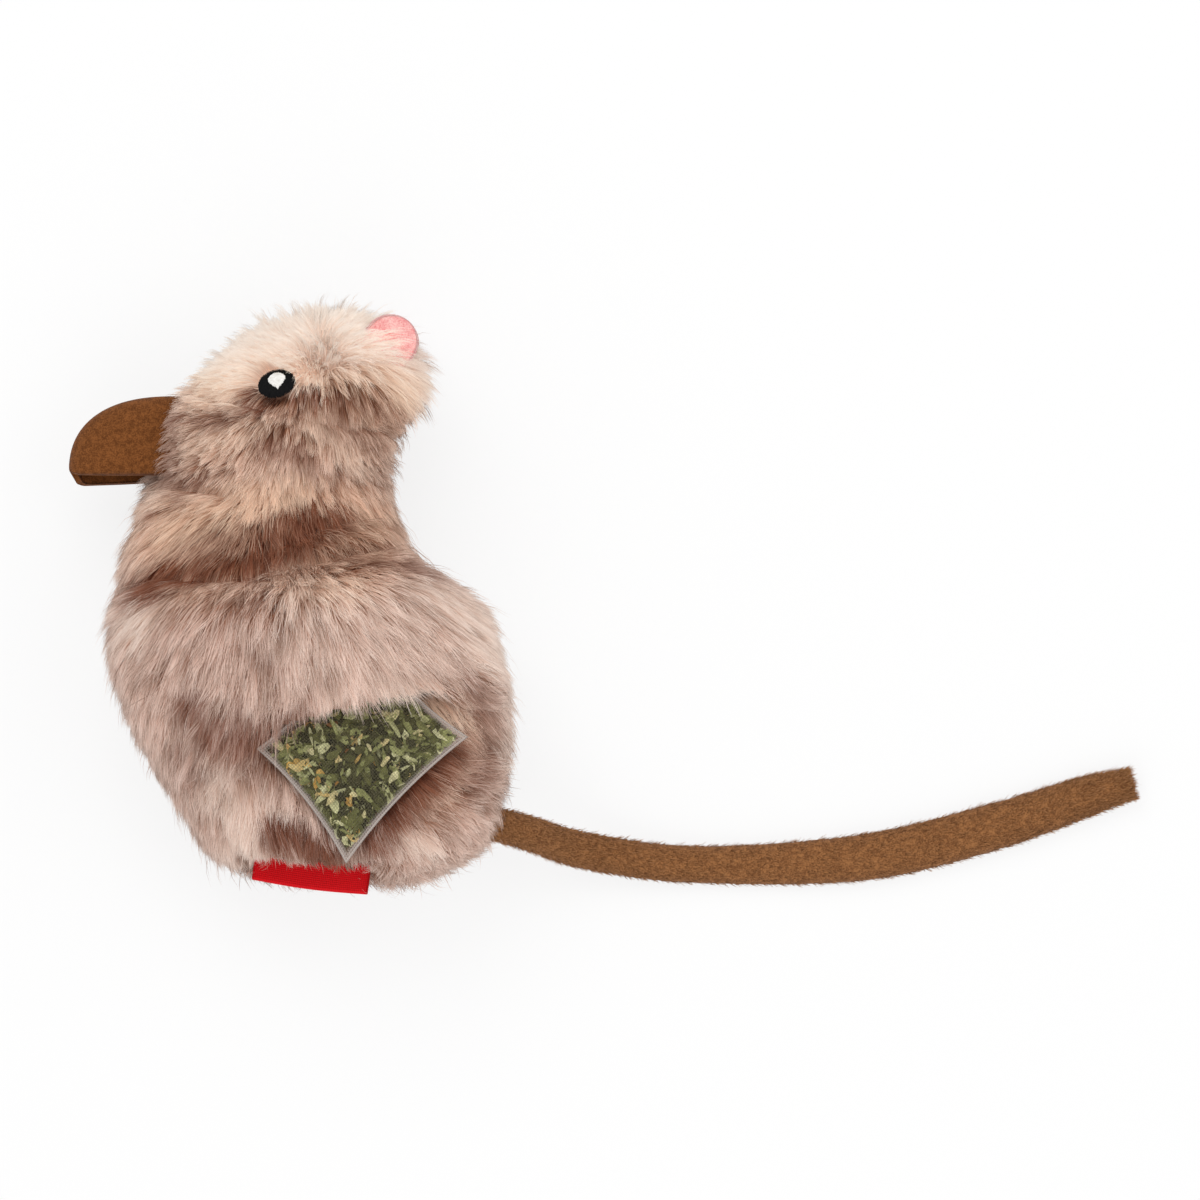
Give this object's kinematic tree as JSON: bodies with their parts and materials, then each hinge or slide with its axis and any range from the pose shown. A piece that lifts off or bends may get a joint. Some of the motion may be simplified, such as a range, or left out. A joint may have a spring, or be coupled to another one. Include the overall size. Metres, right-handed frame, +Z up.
{
  "type": "catnip mouse",
  "caption": "Stuffed plush mouse toy lying on its side: beak-like suede snout, stitched eyes, soft ears, long tail, seam label, and a belly pocket that holds a mesh bag of dried catnip.",
  "frame": {"origin": "centre of the bounding box, on the floor under the toy", "axes": "+X along the tail, away from the face; +Y towards the crown of the head; +Z up, out of the side that shows while the toy lies on its other side"},
  "size_m": [0.2288, 0.127, 0.0525],
  "materials": {
    "plush": "long-pile plush, beige tips over brown roots, with brown bands",
    "fibre": "loose polyester fibre",
    "lining": "thin matt woven lining",
    "suede": "matt microfibre suede with a short nap",
    "velour": "short-pile velour",
    "pink_felt": "matt brushed fabric",
    "black_thread": "satin stitch with a soft sheen",
    "white_thread": "satin stitch with a soft sheen",
    "red_weave": "fine satin weave",
    "nylon_mesh": "sheer woven mesh with sealed edges",
    "dried_leaf": "crumbled dry leaf"
  },
  "bodies": {
    "plush_body": {"body_near_panel": "plush", "body_far_panel": "plush", "head_near_panel": "plush", "head_far_panel": "plush", "fibre_stuffing": "fibre", "pocket_lining": "lining", "snout_near_panel": "suede", "snout_far_panel": "suede", "near_eye_stitching": "black_thread", "near_eye_highlight": "white_thread", "far_eye_stitching": "black_thread", "far_eye_highlight": "white_thread"},
    "tail": {"tail": "velour"},
    "near_ear": {"near_ear_lining": "pink_felt", "near_ear_back": "plush"},
    "far_ear": {"far_ear_lining": "pink_felt", "far_ear_back": "plush"},
    "label": {"woven_label": "red_weave"},
    "flap": {"pocket_flap": "plush"},
    "bag": {"bag_near_mesh": "nylon_mesh", "bag_far_mesh": "nylon_mesh", "catnip_leaves": "dried_leaf"}
  },
  "joints": [
    {"name": "tail_swing", "type": "hinge", "parent": "plush_body", "child": "tail", "pos_m": [-0.02715, -0.04758, 0.02374], "axis": [0, 0, 1], "range_deg": [-25, 25]},
    {"name": "near_ear_fold", "type": "hinge", "parent": "plush_body", "child": "near_ear", "pos_m": [-0.05094, 0.04962, 0.0297], "axis": [0.7314, -0.682, 0], "range_deg": [-20, 35], "stiffness_Nm_per_rad": 0.002},
    {"name": "far_ear_fold", "type": "hinge", "parent": "plush_body", "child": "far_ear", "pos_m": [-0.05094, 0.04962, 0.01015], "axis": [-0.7314, 0.682, 0], "range_deg": [-20, 35], "stiffness_Nm_per_rad": 0.002},
    {"name": "label_flap", "type": "hinge", "parent": "plush_body", "child": "label", "pos_m": [-0.06192, -0.0544, 0.02305], "axis": [-0.9916, 0.1293, 0], "range_deg": [-30, 80], "stiffness_Nm_per_rad": 0.001},
    {"name": "flap_lift", "type": "hinge", "parent": "plush_body", "child": "flap", "pos_m": [-0.05716, -0.01088, 0.05169], "axis": [-0.9673, -0.2412, 0.0785], "range_deg": [0, 60]},
    {"name": "bag_slide", "type": "slide", "parent": "plush_body", "child": "bag", "axis": [-0.2456, 0.968, -0.0522], "range_m": [-0.06, 0.003]}
  ]
}
